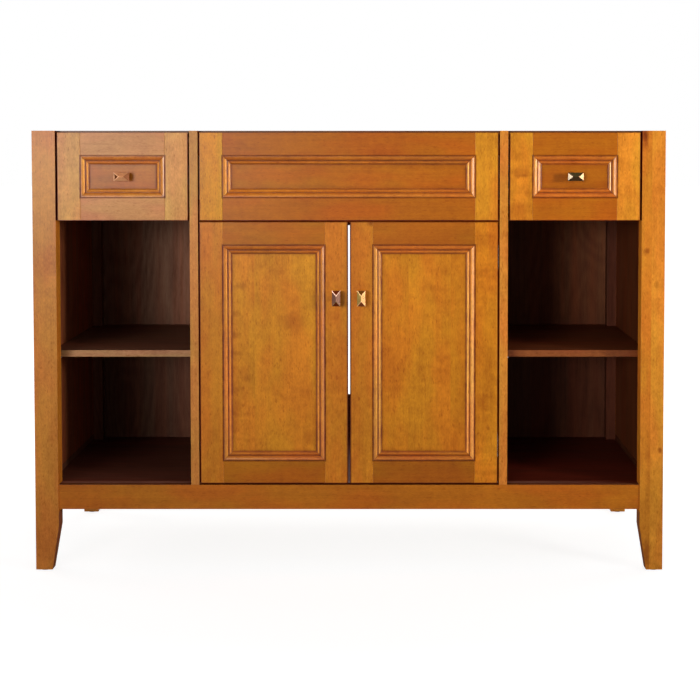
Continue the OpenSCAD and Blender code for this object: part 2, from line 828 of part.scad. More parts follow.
// Screw along X with the underside of its head at the origin, pointing to minus X
module wood_screw() {
  bar_x([-screw_l, cut], 0, 0, screw_r);
  bar_x([0, screw_head_t], 0, 0, screw_head_r);
}
module hardware_screws() {
  color(steel) both_sides() {
    at_slides() for (y = slide_screw_in)
      translate([steel_t, slide_y[0] + y, 0]) wood_screw();
    at_hinges() for (s = [-1, 1])
      translate([plate[0] - front_gap, plate_screw_v, s * hinge_pitch / 2]) wood_screw();
  }
}

front_left_leg();
front_right_leg();
rear_left_leg();
rear_right_leg();
left_side_panel();
right_side_panel();
side_rails();
bottom_rail();
rear_bottom_rail();
front_stretcher();
rear_top_rail();
floor_panel();
left_divider();
right_divider();
drawer_decks();
door_stop_rail();
center_back_rail();
bay_back_panels();
left_shelf();
right_shelf();
shelf_pins();
corner_blocks();
slide_spacers();
floor_cleats();
floor_glides();
false_front_frame();
false_front_panel();
false_front_molding();
false_front_blocks();
slide_cabinet_members();
hinge_arms();
hardware_screws();
left_drawer_front_frame();
left_drawer_front_panel();
left_drawer_molding();
left_drawer_box();
left_drawer_bottom();
left_drawer_knob();
left_drawer_slide_members();
right_drawer_front_frame();
right_drawer_front_panel();
right_drawer_molding();
right_drawer_box();
right_drawer_bottom();
right_drawer_knob();
right_drawer_slide_members();
left_slide_middle();
right_slide_middle();
left_door_frame();
left_door_panel();
left_door_molding();
left_door_knob();
left_hinge_cups();
left_hinge_levers();
right_door_frame();
right_door_panel();
right_door_molding();
right_door_knob();
right_hinge_cups();
right_hinge_levers();
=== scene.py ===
"""Looks of the vanity unit: materials, hinge links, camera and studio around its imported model."""
import math

import bmesh
import bpy
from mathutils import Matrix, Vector


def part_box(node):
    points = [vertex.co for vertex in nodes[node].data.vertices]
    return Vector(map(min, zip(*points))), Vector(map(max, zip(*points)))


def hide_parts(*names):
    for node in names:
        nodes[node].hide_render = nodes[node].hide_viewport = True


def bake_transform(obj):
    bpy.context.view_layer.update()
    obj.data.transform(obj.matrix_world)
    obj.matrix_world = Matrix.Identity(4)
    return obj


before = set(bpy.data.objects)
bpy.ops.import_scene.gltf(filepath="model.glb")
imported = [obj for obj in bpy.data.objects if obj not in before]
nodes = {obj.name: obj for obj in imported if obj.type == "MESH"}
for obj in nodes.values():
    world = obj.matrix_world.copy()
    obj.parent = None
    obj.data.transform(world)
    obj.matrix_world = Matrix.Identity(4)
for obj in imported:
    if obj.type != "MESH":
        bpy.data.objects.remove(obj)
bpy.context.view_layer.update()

MM = 0.001
SIDES = {"left": -1, "right": 1}


def srgb(red, green, blue):
    """Linear colour with alpha from sRGB values of 0 to 255."""
    def channel(c):
        c /= 255
        return c / 12.92 if c <= 0.04045 else ((c + 0.055) / 1.055) ** 2.4
    return (channel(red), channel(green), channel(blue), 1.0)


# Tones as seen under plain light, first the stained maple's: legs
LEG_ROSE = srgb(195, 120, 44)
LEG_AMBER = srgb(196, 117, 31)
# The front legs' inner faces: painted lighter than the leg as painted light, and darker below the
# bottom rail as painted shade
LEG_INNER_LIT = srgb(235, 142, 46)
LEG_INNER_SHADED = srgb(170, 105, 70)
# Stiles of the fronts
ROSE = srgb(200, 134, 59)
ROSE_PALE = srgb(199, 139, 65)
GOLD = srgb(195, 121, 26)
AMBER = srgb(208, 131, 35)
HONEY = srgb(197, 127, 20)
OCHRE = srgb(186, 110, 24)
STRAW = srgb(193, 114, 20)
# Rails of the fronts
TAN_PALE = srgb(189, 122, 64)
SIENNA = srgb(167, 88, 10)
COPPER = srgb(165, 86, 8)
COPPER_PALE = srgb(165, 92, 9)
RUSSET = srgb(157, 88, 10)
# Panels of the fronts
PINK = srgb(170, 97, 27)
SIENNA_DEEP = srgb(161, 85, 10)
SIENNA_PALE = srgb(167, 94, 11)
MAPLE = srgb(187, 112, 20)
MAPLE_PALE = srgb(193, 120, 25)
# Molding; the uprights' paler tones are painted highlight
TRIM_LEVEL = srgb(188, 103, 19)
TRIM_ORANGE = srgb(200, 120, 42)
TRIM_UPRIGHT_LIT = srgb(216, 130, 36)
TRIM_PALE_LIT = srgb(229, 150, 52)
TRIM_ROSE_LIT = srgb(243, 168, 66)
TRIM_BRIGHT_LIT = srgb(253, 168, 68)
# Bottom rail, stretcher, and edges of dividers and shelves; the rail's top and the stretcher's
# face are painted shade
RAIL_LEFT = srgb(171, 96, 18)
RAIL_RIGHT = srgb(181, 99, 18)
RAIL_TOP = srgb(122, 70, 46)
EDGE_SHADE = srgb(96, 42, 14)
SHADOW_EDGE = srgb(96, 54, 28)
DIVIDER_ROSE = srgb(189, 124, 52)
DIVIDER_AMBER = srgb(199, 122, 42)
EDGE_ROSE = srgb(168, 117, 76)
EDGE_RED = srgb(123, 63, 28)
# Dark laminate of the left bay, then of the right one; the _LIT tones and the left wall's are
# painted light, the _SHADED and _SHADE ones painted shade
WALNUT = srgb(120, 77, 56)
WALNUT_LIT = srgb(140, 91, 67)
WALNUT_SHADED = srgb(108, 66, 46)
WALNUT_WALL_LIT = srgb(158, 88, 54)
WALNUT_SHELF = srgb(107, 65, 47)
WALNUT_RED = srgb(104, 51, 26)
WALNUT_RED_SHADE = srgb(86, 44, 27)
WALNUT_RED_LIT = srgb(112, 61, 35)
WALNUT_RED_SHADED = srgb(90, 46, 27)
# Floor of the bays, and faces deep in the gaps between the fronts, painted dark red as painted
# shade; the floor's front edge is painted light and its right corner painted shade
WALNUT_FLOOR = srgb(94, 48, 35)
WALNUT_RED_FLOOR = srgb(92, 33, 19)
FLOOR_FRONT_LIT = srgb(143, 95, 80)
FLOOR_CORNER_SHADE = srgb(88, 32, 18)
GAP_SHADE_RED = srgb(116, 38, 12)
# Bare birch and plywood
BIRCH = srgb(219, 190, 146)
PLY = srgb(205, 172, 126)


# Shader graph helpers

class Graph:
    """One material's nodes; any input takes a number, a colour or a socket."""

    def __init__(self, name):
        self.material = bpy.data.materials.new(name)
        self.material.use_nodes = True
        self.tree = self.material.node_tree
        self.shader = self.tree.nodes["Principled BSDF"]
        self.at = self.add("ShaderNodeTexCoord").outputs["Object"]
        split = self.add("ShaderNodeSeparateXYZ", {0: self.at})
        self.x, self.y, self.z = split.outputs

    def feed(self, socket, value):
        if isinstance(value, bpy.types.NodeSocket):
            self.tree.links.new(value, socket)
        else:
            socket.default_value = value

    def add(self, kind, inputs=None, **settings):
        made = self.tree.nodes.new(kind)
        for key, value in settings.items():
            setattr(made, key, value)
        for key, value in (inputs or {}).items():
            self.feed(made.inputs[key], value)
        return made

    def calc(self, operation, a, b=0.0, clamp=False):
        made = self.add("ShaderNodeMath", {0: a, 1: b}, operation=operation)
        made.use_clamp = clamp
        return made.outputs[0]

    def product(self, *factors):
        total = factors[0]
        for factor in factors[1:]:
            total = self.calc("MULTIPLY", total, factor)
        return total

    def weighted(self, *pairs):
        """Sum of each socket times its weight, about its middle of one half, kept to 0 to 1."""
        total = 0.5
        for socket, weight in pairs:
            part = self.product(self.calc("SUBTRACT", socket, 0.5), weight)
            total = self.calc("ADD", part, total)
        return self.calc("MINIMUM", self.calc("MAXIMUM", total, 0.0), 1.0)

    def mix(self, factor, a, b, blend="MIX"):
        made = self.add("ShaderNodeMix", data_type="RGBA", blend_type=blend)
        self.feed(made.inputs[0], factor)
        self.feed(made.inputs[6], a)
        self.feed(made.inputs[7], b)
        return made.outputs[2]

    def noise(self, vector, scale, detail=3.0, roughness=0.55, distortion=0.0):
        """Noise with its own scale along each axis of vector."""
        scaled = self.add("ShaderNodeVectorMath", {0: vector, 1: scale}, operation="MULTIPLY")
        made = self.add("ShaderNodeTexNoise", {"Vector": scaled.outputs[0], "Scale": 1.0,
                                               "Detail": detail, "Roughness": roughness,
                                               "Distortion": distortion})
        return made.outputs["Fac"]

    def ramp(self, value, stops):
        """Greyscale ramp through (position, brightness) stops."""
        made = self.add("ShaderNodeValToRGB", {0: value})
        points = made.color_ramp.elements
        while len(points) < len(stops):
            points.new(0.5)
        for point, (position, grey) in zip(points, stops):
            point.position = position
            point.color = (grey, grey, grey, 1.0)
        return made.outputs[0]

    def step(self, value, low, high):
        """0 at low and 1 at high, on whichever side of each other, and smooth between."""
        made = self.add("ShaderNodeMapRange", {0: value, 1: low, 2: high},
                        interpolation_type="SMOOTHSTEP")
        return made.outputs[0]

    def bump(self, height, strength, distance):
        made = self.add("ShaderNodeBump", {"Height": height, "Strength": strength,
                                           "Distance": distance})
        self.feed(self.shader.inputs["Normal"], made.outputs[0])

    def finish(self, **values):
        """Sets the shader's inputs and gives back the material."""
        for key, value in values.items():
            self.feed(self.shader.inputs[key.replace("_", " ")], value)
        return self.material


def tint(colour, factors):
    """A constant colour times three factors."""
    return tuple(c * f for c, f in zip(colour, factors)) + (1.0,)


def tinted(graph, colour, factors, amount=1.0):
    """Colour times three factors, in full where amount is 1."""
    return graph.mix(amount, colour, factors + (1.0,), "MULTIPLY")


GRAIN_ORDER = {"X": (2, 1, 0), "Y": (0, 2, 1), "Z": (0, 1, 2)}
GRAIN_DEPTH = 0.2 * MM


def grain_space(graph, grain, seed):
    """Coordinates whose third axis runs along the grain, moved by the board's seed."""
    order = [(graph.x, graph.y, graph.z)[i] for i in GRAIN_ORDER[grain]]
    joined = graph.add("ShaderNodeCombineXYZ", dict(enumerate(order))).outputs[0]
    shift = (seed * 1.73, seed * 2.31, seed * 3.37)
    return graph.add("ShaderNodeVectorMath", {0: joined, 1: shift}, operation="ADD").outputs[0]


# Glaze left in the molding: (distance from the frame's edge in mm, amount)
GLAZE_LINES = ((-2.4, 0.0), (-1.6, 0.9), (1.1, 1.0), (2.3, 0.2), (4.5, 0.0), (7.8, 0.1),
               (8.9, 0.95), (10.7, 0.95), (11.8, 0.1), (14.0, 0.1), (15.2, 0.8), (17.6, 1.0),
               (18.8, 0.3), (22.0, 0.08), (26.0, 0.0))
GLAZE_SPAN = (-4.0, 36.0)
# Bands on the molding's slopes, as (stops, tint): painted shade in the hollows and painted
# highlights on the steep slopes and ridges
LEVEL_SHADE_BANDS = ((((5.2, 0.0), (6.6, 1.0), (8.6, 1.0), (9.8, 0.0)), (0.82, 0.73, 0.64)),)
RIDGE_HIGHLIGHT = (((10.6, 0.0), (11.6, 1.0), (13.4, 1.0), (14.6, 0.0)), (1.14, 1.18, 1.24))
LEFT_LIGHT_BANDS = ((((0.8, 0.0), (1.8, 1.0), (4.4, 1.0), (6.4, 0.0)), (0.78, 0.72, 0.68)),
              (((5.4, 0.0), (6.8, 1.0), (8.2, 1.0), (9.0, 0.0)), (1.14, 1.18, 1.24)), RIDGE_HIGHLIGHT)
RIGHT_LIGHT_BANDS = ((((0.8, 0.0), (1.8, 1.0), (7.6, 1.0), (8.8, 0.0)), (0.9, 0.86, 0.82)), RIDGE_HIGHLIGHT)
GLAZE_TINT = (0.3, 0.15, 0.04)
GLAZE_DEPTH = 12 * MM
MITRE_DEPTH = 17 * MM
MITRE_FADE = (1.3 * MM, 0.2 * MM)
MITRE_SHARE = 0.75
# Painted shade along the fronts' outer edges, in the gaps between them, and a wider painted
# shadow where the two doors meet: each fade is (distance where it is nothing, distance where it
# is full)
RIM_SHADE_TINT = (0.26, 0.05, 0.02)
RIM_FADE = (1.8 * MM, 0.6 * MM)
RIM_TOP_FADE = (4 * MM, 2 * MM)
RIM_DEPTH = 3 * MM
RIM_SHARE = 0.9
RIM_SHARE_AT_TOP = 0.35
MEETING_TINT = (0.5, 0.4, 0.3)
MEETING_FADE = (3.2 * MM, 2.0 * MM)
FACE_FADE = 3 * MM


def from_sides(graph, low, high):
    """Distances inwards from a box's sides, and from its top and bottom."""
    across = graph.calc("MINIMUM", graph.calc("SUBTRACT", graph.x, low.x),
                        graph.calc("SUBTRACT", high.x, graph.x))
    up = graph.calc("MINIMUM", graph.calc("SUBTRACT", graph.z, low.z),
                    graph.calc("SUBTRACT", high.z, graph.z))
    return across, up


def inside_of(graph, low, high):
    """Distance inwards from the nearest of a box's four sides."""
    return graph.calc("MINIMUM", *from_sides(graph, low, high))


def near_face(graph, face, depth):
    """1 from a front's face back to the depth, fading to 0 behind that."""
    return graph.step(graph.y, face + depth + FACE_FADE, face + depth)


def by_distance(graph, opening, stops):
    """Amount by the distance inwards from the molding's edge, from (mm, amount) stops."""
    reach = GLAZE_SPAN[1] - GLAZE_SPAN[0]
    place = graph.add("ShaderNodeMapRange", {0: inside_of(graph, *opening),
                                             1: GLAZE_SPAN[0] * MM,
                                             2: GLAZE_SPAN[1] * MM}).outputs[0]
    return graph.ramp(place, [((r - GLAZE_SPAN[0]) / reach, amount) for r, amount in stops])


def glaze(graph, colour, opening, level_share):
    """Dark glaze along the molding's lines and its corners' mitres.

    The level lines keep only their share of it.
    """
    across, up = from_sides(graph, *opening)
    distance = graph.calc("MINIMUM", across, up)
    lines = by_distance(graph, opening, GLAZE_LINES)
    wiped_off = graph.product(graph.calc("LESS_THAN", up, across), 1.0 - level_share)
    lines = graph.product(lines, graph.calc("SUBTRACT", 1.0, wiped_off))
    off_mitre = graph.calc("ABSOLUTE", graph.calc("SUBTRACT", across, up))
    mitre = graph.product(graph.step(off_mitre, *MITRE_FADE),
                          graph.step(distance, MITRE_DEPTH + MM, MITRE_DEPTH),
                          graph.calc("GREATER_THAN", distance, 0.0), MITRE_SHARE)
    lines = graph.calc("MAXIMUM", lines, mitre)
    wiped = graph.noise(graph.at, (45, 45, 45), detail=2.0)
    amount = graph.calc("MULTIPLY", lines, graph.calc("ADD", wiped, 0.45), clamp=True)
    amount = graph.product(amount, near_face(graph, opening[0].y, GLAZE_DEPTH))
    return tinted(graph, colour, GLAZE_TINT, amount)


def rim(graph, colour, outline, meeting=None):
    """Painted shade along a front's outer edge, in the gaps between fronts, faint at its top.

    Where two doors meet, at x = meeting, a wider and softer shadow lies under it.
    """
    near = near_face(graph, outline[0].y, RIM_DEPTH)
    if meeting is not None:
        off = graph.calc("ABSOLUTE", graph.calc("SUBTRACT", graph.x, meeting))
        close = graph.step(off, *MEETING_FADE)
        colour = tinted(graph, colour, MEETING_TINT, graph.product(close, near))
    edge = graph.step(inside_of(graph, *outline), *RIM_FADE)
    top = outline[1].z
    at_top = graph.step(graph.z, top - RIM_TOP_FADE[0], top - RIM_TOP_FADE[1])
    loss = graph.product(at_top, RIM_SHARE - RIM_SHARE_AT_TOP)
    share = graph.calc("SUBTRACT", RIM_SHARE, loss)
    return tinted(graph, colour, RIM_SHADE_TINT, graph.product(edge, near, share))


DARK_SPOT = (0.5, 0.34, 0.22)
PALE_SPOT = (1.5, 1.6, 1.6)


def spots(graph, colour, marks):
    """Knots and patches: (x, z, half width, half height, amount), in metres; below 0 is pale."""
    if not marks:
        return colour
    ragged = graph.noise(graph.at, (120, 120, 80))
    ragged = graph.product(graph.calc("SUBTRACT", ragged, 0.5), 1.6)
    for x, z, width, height, strength in marks:
        across = graph.calc("DIVIDE", graph.calc("SUBTRACT", graph.x, x), width)
        up = graph.calc("DIVIDE", graph.calc("SUBTRACT", graph.z, z), height)
        off = graph.calc("SQRT", graph.calc("ADD", graph.product(across, across),
                                            graph.product(up, up)))
        amount = graph.step(graph.calc("ADD", ragged, off), 1.5, 0.3)
        colour = tinted(graph, colour, DARK_SPOT if strength > 0 else PALE_SPOT,
                        graph.product(amount, abs(strength)))
    return colour


def drift(graph, tone, changes):
    """Tone that turns into others: each change is (axis, start, end, other tone)."""
    for axis, start, end, other in changes:
        place = {"X": graph.x, "Y": graph.y, "Z": graph.z}[axis]
        tone = graph.mix(graph.step(place, start, end), tone, other)
    return tone


MAPLE_DARK = (0.7, 0.58, 0.46)
MAPLE_LIGHT = (1.3, 1.42, 1.54)
FLECK_TINT = (0.78, 0.66, 0.5)
# Painted shade in narrow gaps
GAP_SHADE_TINT = (0.12, 0.04, 0.04)
LACQUER_ROUGHNESS = 0.28
PLANK_SHIFT = (0.41, 0.23, 0.67)


def planked(graph, along, tone, planks):
    """Grain space and tone that change at each plank's left edge, given as (edge, share)."""
    for edge, share in planks:
        past = graph.calc("GREATER_THAN", graph.x, edge)
        shift = graph.add("ShaderNodeVectorMath", {0: PLANK_SHIFT, "Scale": past},
                          operation="SCALE").outputs[0]
        along = graph.add("ShaderNodeVectorMath", {0: along, 1: shift},
                          operation="ADD").outputs[0]
        tone = tinted(graph, tone, (share, share * share, share ** 3), past)
    return along, tone


def painted_gap_shade(graph, colour, low_x, high_x, low_z):
    """Painted shade: colour made nearly black between two x and above a height, as in a narrow gap
    in shadow.
    """
    within = graph.product(graph.calc("GREATER_THAN", graph.z, low_z),
                           graph.calc("GREATER_THAN", graph.x, low_x),
                           graph.calc("LESS_THAN", graph.x, high_x))
    return tinted(graph, colour, GAP_SHADE_TINT, within)


def wood(name, tone, grain="Z", seed=1.0, changes=(), opening=None, planks=(), marks=(),
         figure=1.0, curly=0.7, bands=(), level_share=1.0, outline=None, meeting=None, gap=None,
         gloss=0.12):
    """Stained maple: clouds, curl, mottling, streaks and flecks over a tone.

    Changes are as in drift, planks as in planked, marks as in spots and gap as in
    painted_gap_shade, which paints shade. Bands of painted shade and highlight, and glaze, follow
    the molding's opening, and the rim's painted shade a front's outline. Figure scales the
    pattern, and curly its curl.
    """
    graph = Graph(name)
    along, tone = planked(graph, grain_space(graph, grain, seed), drift(graph, tone, changes),
                          planks)
    hue = graph.step(graph.noise(along, (19, 19, 6), detail=2.0), 0.36, 0.64)
    tone = graph.mix(hue, tinted(graph, tone, (1.03, 0.92, 1.0)),
                     tinted(graph, tone, (0.98, 1.07, 1.0)))
    clouds = graph.noise(along, (14, 14, 5), detail=3.0, distortion=0.6)
    curl = graph.noise(along, (16, 16, 52), detail=2.0, distortion=0.5)
    curled = graph.step(graph.noise(along, (7, 7, 6), detail=1.0), 0.42, 0.62)
    curl = graph.calc("ADD", graph.product(graph.calc("SUBTRACT", curl, 0.5), curled), 0.5)
    mottle = graph.noise(along, (95, 95, 60), detail=3.0, roughness=0.65)
    streaks = graph.noise(along, (260, 260, 5), detail=2.0)
    pores = graph.noise(along, (520, 520, 180), detail=2.0)
    value = graph.weighted((clouds, 1.1 * figure), (curl, curly * figure), (mottle, 0.9 * figure),
                           (streaks, 0.45), (pores, 0.8 * figure))
    colour = graph.mix(value, tinted(graph, tone, MAPLE_DARK), tinted(graph, tone, MAPLE_LIGHT))
    flecks = graph.step(graph.noise(along, (330, 330, 90), detail=1.0), 0.64, 0.74)
    colour = tinted(graph, colour, FLECK_TINT, graph.product(flecks, figure))
    colour = spots(graph, colour, marks)
    for stops, factors in bands:
        colour = tinted(graph, colour, factors, by_distance(graph, opening, stops))
    if opening:
        colour = glaze(graph, colour, opening, level_share)
    if outline:
        colour = rim(graph, colour, outline, meeting)
    if gap:
        colour = painted_gap_shade(graph, colour, *gap)
    graph.bump(graph.weighted((streaks, 1.0), (pores, 1.0)), 0.12, GRAIN_DEPTH)
    return graph.finish(Base_Color=colour, Roughness=LACQUER_ROUGHNESS,
                        Specular_IOR_Level=gloss)


WALNUT_DARK = (0.6, 0.52, 0.48)
WALNUT_LIGHT = (1.4, 1.48, 1.52)


def laminate(name, tone, grain="Z", seed=1.0, changes=(), gloss=0.08):
    """Dark wood-grain laminate with long grain and arches."""
    graph = Graph(name)
    along = grain_space(graph, grain, seed)
    clouds = graph.noise(along, (9, 9, 3.5), detail=3.0, distortion=1.2)
    heart = graph.noise(along, (8, 8, 1.8), detail=1.0, distortion=0.4)
    rings = graph.calc("SINE", graph.product(heart, 110.0))
    arches = graph.product(graph.calc("ADD", rings, 1.0), 0.5)
    bands = graph.noise(along, (38, 38, 0.8), detail=2.0)
    lines = graph.noise(along, (150, 150, 6), detail=4.0, roughness=0.65, distortion=0.3)
    pores = graph.noise(along, (600, 600, 60), detail=2.0)
    value = graph.weighted((clouds, 0.9), (arches, 0.22), (bands, 0.7), (lines, 1.1),
                           (pores, 0.8))
    tone = drift(graph, tone, changes)
    tone = graph.mix(graph.step(graph.noise(along, (26, 26, 0.6)), 0.4, 0.6),
                     tinted(graph, tone, (1.06, 0.92, 0.84)),
                     tinted(graph, tone, (0.94, 1.06, 1.08)))
    colour = graph.mix(value, tinted(graph, tone, WALNUT_DARK), tinted(graph, tone, WALNUT_LIGHT))
    graph.bump(lines, 0.15, GRAIN_DEPTH)
    return graph.finish(Base_Color=colour, Roughness=0.5, Specular_IOR_Level=gloss)


def bare_wood(name, tone, grain="Z", seed=1.0):
    """Unstained birch under a thin clear coat."""
    graph = Graph(name)
    along = grain_space(graph, grain, seed)
    clouds = graph.noise(along, (8, 8, 2.5), detail=2.0, distortion=0.8)
    lines = graph.noise(along, (120, 120, 3), detail=4.0, roughness=0.6)
    pores = graph.noise(along, (700, 700, 40), detail=2.0)
    value = graph.weighted((clouds, 0.7), (lines, 1.1), (pores, 0.6))
    colour = graph.mix(value, tint(tone, (0.78, 0.72, 0.64)), tint(tone, (1.08, 1.08, 1.08)))
    graph.bump(lines, 0.12, GRAIN_DEPTH)
    return graph.finish(Base_Color=colour, Roughness=0.55)


KNOB_RIDGE = 10 * MM
PIT_DEPTH = 0.05 * MM
BRASS_DARK = (0.82, 0.8, 0.76)
BRASS_LIGHT = (1.18, 1.2, 1.22)


def brass_patina_and_reflections(node, facets, ends, hips, rims=(0.0, 0.0)):
    """Antique brass whose tones follow a knob's head: patina and wear, and painted reflections and
    highlights of the lamps and room on its facets, hips and end rims.

    facets are the two long slopes' tones, ends the two end slopes', hips the tones of the worn and
    highlighted band towards each end and rims how strongly each end's rim takes that band, all
    from the low to the high side.
    """
    graph = Graph(node + "_brass")
    low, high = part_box(node)
    middle = (low + high) / 2
    half = (high - low) / 2
    level = half.x > half.z
    half_length, half_width = (half.x, half.z) if level else (half.z, half.x)
    off_x = graph.calc("SUBTRACT", graph.x, middle.x)
    off_z = graph.calc("SUBTRACT", graph.z, middle.z)
    run, across = (off_x, off_z) if level else (off_z, off_x)
    slope = (half_length - KNOB_RIDGE / 2) / half_width
    past_ridge = graph.calc("SUBTRACT", graph.calc("ABSOLUTE", run), KNOB_RIDGE / 2)
    past_hip = graph.calc("SUBTRACT", past_ridge,
                          graph.product(graph.calc("ABSOLUTE", across), slope))
    high_end = graph.calc("GREATER_THAN", run, 0.0)
    colour = graph.mix(graph.step(across, -0.4 * MM, 0.4 * MM), *facets)
    colour = graph.mix(graph.step(past_hip, -0.3 * MM, 0.3 * MM), colour,
                       graph.mix(high_end, *ends))
    patches = graph.noise(graph.at, (160, 160, 160), detail=3.0)
    pits = graph.noise(graph.at, (1400, 1400, 1400), detail=2.0)
    # The band along the hips and end rims is partly wear and partly painted highlight and
    # reflection
    wear_and_reflection = graph.step(graph.calc("ABSOLUTE", past_hip), 1.3 * MM, 0.5 * MM)
    end_rim = graph.step(graph.calc("ABSOLUTE", run), half_length - 2.6 * MM,
                         half_length - 1.6 * MM)
    end_rim = graph.product(end_rim, graph.mix(high_end, *[(v, v, v, 1.0) for v in rims]))
    wear_and_reflection = graph.calc("MULTIPLY", graph.calc("MAXIMUM", wear_and_reflection, end_rim),
                        graph.calc("ADD", patches, 0.4), clamp=True)
    colour = graph.mix(wear_and_reflection, colour, graph.mix(high_end, *hips))
    value = graph.weighted((patches, 1.4), (pits, 0.4))
    colour = graph.mix(value, tinted(graph, colour, BRASS_DARK),
                       tinted(graph, colour, BRASS_LIGHT))
    roughness = graph.add("ShaderNodeMapRange", {0: patches, 3: 0.24, 4: 0.34}).outputs[0]
    graph.bump(pits, 0.05, PIT_DEPTH)
    return graph.finish(Base_Color=colour, Roughness=roughness, Metallic=1.0)


def sheet_steel(name, tone, shine):
    """Rolled and plated steel with fine lines along its length."""
    graph = Graph(name)
    rolled = graph.noise(graph.at, (900, 12, 900), detail=3.0)
    clouds = graph.noise(graph.at, (30, 30, 30), detail=3.0)
    value = graph.weighted((rolled, 0.8), (clouds, 0.9))
    colour = graph.mix(value, tint(tone, (0.78, 0.78, 0.8)), tone)
    roughness = graph.add("ShaderNodeMapRange",
                          {0: clouds, 3: shine - 0.06, 4: shine + 0.1}).outputs[0]
    return graph.finish(Base_Color=colour, Roughness=roughness, Metallic=1.0)


def nylon(name):
    """Black plastic with a fine moulded grain."""
    graph = Graph(name)
    grain = graph.noise(graph.at, (1500, 1500, 1500), detail=2.0)
    colour = graph.mix(grain, srgb(24, 24, 26), srgb(44, 44, 46))
    graph.bump(grain, 0.2, 0.1 * MM)
    return graph.finish(Base_Color=colour, Roughness=0.5)


# Putting materials on the CAD nodes

def paint(node, base, *rules):
    """Gives a node its materials: each rule is (material, test of a face's centre and normal).

    The last rule whose test a face passes decides, and a face that passes none gets the base.
    """
    mesh = nodes[node].data
    mesh.materials.clear()
    for material in [base] + [material for material, _ in rules]:
        mesh.materials.append(material)
    for face in mesh.polygons:
        face.material_index = 0
        for number, (_, test) in enumerate(rules, 1):
            if test(face.center, face.normal):
                face.material_index = number


def ease(node, width, segments=2, sharp=35):
    """Joins a CAD mesh's faces and rounds its edges over an angle of sharp degrees."""
    shape = nodes[node]
    weld = shape.modifiers.new("weld", "WELD")
    weld.merge_threshold = 0.01 * MM
    flat = shape.modifiers.new("flat", "DECIMATE")
    flat.decimate_type = "DISSOLVE"
    flat.angle_limit = math.radians(0.5)
    flat.delimit = {"MATERIAL"}
    round_off = shape.modifiers.new("round", "BEVEL")
    round_off.width = width
    round_off.segments = segments
    round_off.limit_method = "ANGLE"
    round_off.angle_limit = math.radians(sharp)
    even = shape.modifiers.new("even", "WEIGHTED_NORMAL")
    even.weight = 100
    for face in shape.data.polygons:
        face.use_smooth = True


def facing(axis, sign, limit=0.7):
    """Test for faces whose normal points along one axis."""
    return lambda centre, normal: normal["xyz".index(axis)] * sign > limit


def on_side(centre, normal, low, high):
    """Whether a face is one of the four narrow sides of a front between two corners."""
    if abs(normal.y) > 0.5:
        return False
    gaps = (centre.x - low.x, high.x - centre.x, centre.z - low.z, high.z - centre.z)
    return min(gaps) < MM


# The fronts: frames, panels and moldings

SEAM_MARGIN = 0.05 * MM
# Knots and patches of the left door's panel, as in spots
DOOR_MARKS = ((-0.2094, 0.555, 0.011, 0.008, 0.5), (-0.218, 0.501, 0.008, 0.006, 0.45),
              (-0.220, 0.460, 0.009, 0.006, 0.5), (-0.214, 0.4235, 0.010, 0.005, 0.45),
              (-0.199, 0.375, 0.010, 0.007, 0.35), (-0.216, 0.352, 0.009, 0.006, 0.3),
              (-0.1078, 0.4835, 0.024, 0.018, 0.4))


